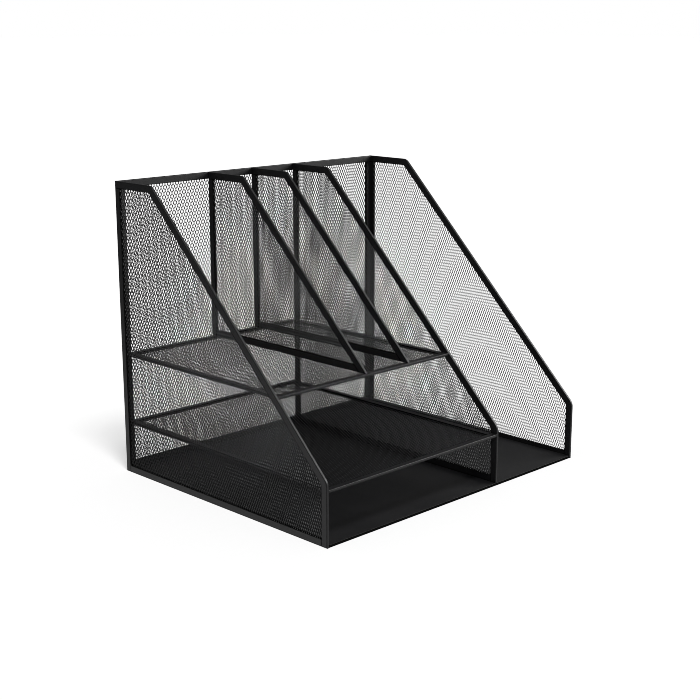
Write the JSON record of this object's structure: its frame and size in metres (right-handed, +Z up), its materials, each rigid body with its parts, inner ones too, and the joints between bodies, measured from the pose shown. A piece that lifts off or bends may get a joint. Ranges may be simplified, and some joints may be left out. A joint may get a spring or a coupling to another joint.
{
  "type": "desk organizer",
  "caption": "Mesh steel desk organizer with stacked letter trays, upright slots above them and a tall file slot beside them.",
  "frame": {"origin": "on the surface that the organizer stands on, under the middle of its outline", "axes": "+Z up, -Y towards the open front, +X towards the tall file slot, to the right of someone facing the front"},
  "size_m": [0.36, 0.3, 0.3],
  "materials": {
    "folded_strip": "matte black powder coat on folded steel strip",
    "expanded_mesh": "matte black powder coat on expanded steel mesh",
    "base_sheet": "matte black powder coat on sheet steel"
  },
  "bodies": {
    "root": {"base_plate": "base_sheet", "left_side_edging": "folded_strip", "left_side_rear_post": "folded_strip", "left_side_bottom_rail": "folded_strip", "partition_edging": "folded_strip", "partition_rear_post": "folded_strip", "partition_bottom_rail": "folded_strip", "right_side_edging": "folded_strip", "right_side_rear_post": "folded_strip", "right_side_bottom_rail": "folded_strip", "divider_1_edging": "folded_strip", "divider_1_rear_post": "folded_strip", "divider_1_bottom_rail": "folded_strip", "divider_2_edging": "folded_strip", "divider_2_rear_post": "folded_strip", "divider_2_bottom_rail": "folded_strip", "back_bottom_rail": "folded_strip", "back_top_rail": "folded_strip", "back_left_post": "folded_strip", "back_right_post": "folded_strip", "lower_shelf_front_rail": "folded_strip", "lower_shelf_back_rail": "folded_strip", "lower_shelf_left_rail": "folded_strip", "lower_shelf_right_rail": "folded_strip", "upper_shelf_front_rail": "folded_strip", "upper_shelf_back_rail": "folded_strip", "upper_shelf_left_rail": "folded_strip", "upper_shelf_right_rail": "folded_strip", "left_side_mesh": "expanded_mesh", "partition_mesh": "expanded_mesh", "right_side_mesh": "expanded_mesh", "divider_1_mesh": "expanded_mesh", "divider_2_mesh": "expanded_mesh", "back_mesh": "expanded_mesh", "lower_shelf_mesh": "expanded_mesh", "upper_shelf_mesh": "expanded_mesh"}
  },
  "joints": []
}
